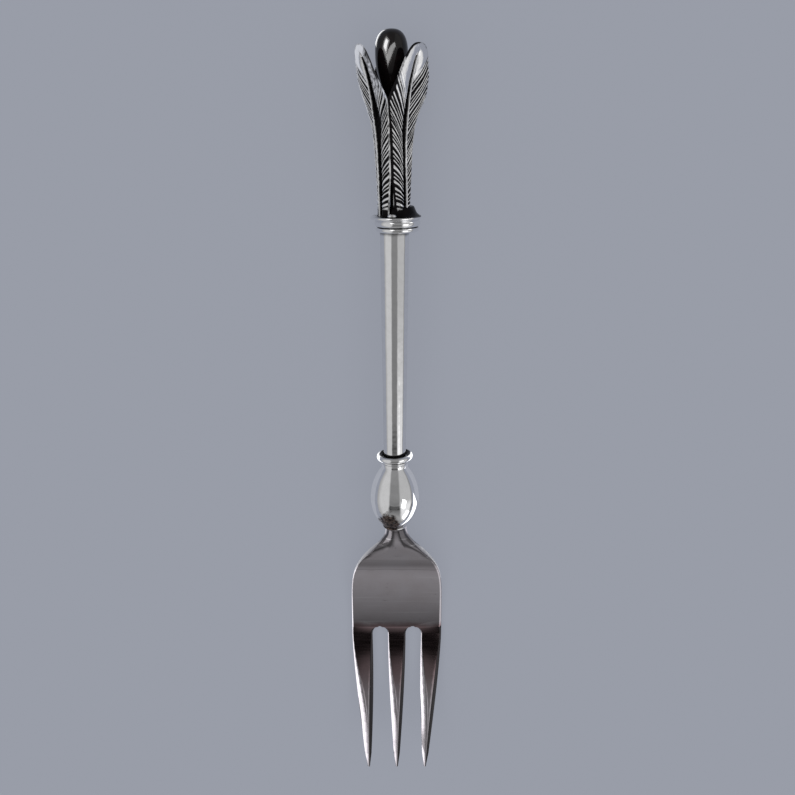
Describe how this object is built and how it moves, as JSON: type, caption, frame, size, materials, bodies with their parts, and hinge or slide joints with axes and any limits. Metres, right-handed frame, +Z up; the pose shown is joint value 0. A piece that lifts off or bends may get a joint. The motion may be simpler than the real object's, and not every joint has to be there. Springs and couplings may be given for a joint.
{
  "type": "fish fork",
  "caption": "Slim fish fork with a flat tapered head, an egg-shaped bulb, a round tapered tube handle and a finial of flaring feathers around a dark bud.",
  "frame": {"origin": "on the table, under the middle of the fork's length and of the head's width; the fork lies on its back", "axes": "+Y along the handle from the tines to the finial, +Z up from the table, +X across the tines"},
  "size_m": [0.0244, 0.1892, 0.0161],
  "materials": {
    "head_steel": "polished steel, a little darker and browner than the handle, with fine lengthwise rubbing",
    "bulb_silver": "mirror-polished silver with brown solder patina where the neck enters",
    "polished_silver": "mirror-polished silver",
    "ring_silver": "polished silver with dark patina on its inner side",
    "plate_silver": "blackened silver, bright on the rim",
    "feather_silver": "carved silver with bright raised barbs and black patina in the grooves",
    "bud_dark": "polished black-brown metal"
  },
  "bodies": {
    "root": {"fork_head": "head_steel", "bulb": "bulb_silver", "bulb_ring": "polished_silver", "neck_ring": "ring_silver", "shaft_tube": "polished_silver", "collar_ring": "polished_silver", "collar_band": "polished_silver", "finial_plate": "plate_silver", "finial_stem": "plate_silver", "feather_left": "feather_silver", "feather_right": "feather_silver", "feather_back": "feather_silver", "bud": "bud_dark"}
  },
  "joints": []
}
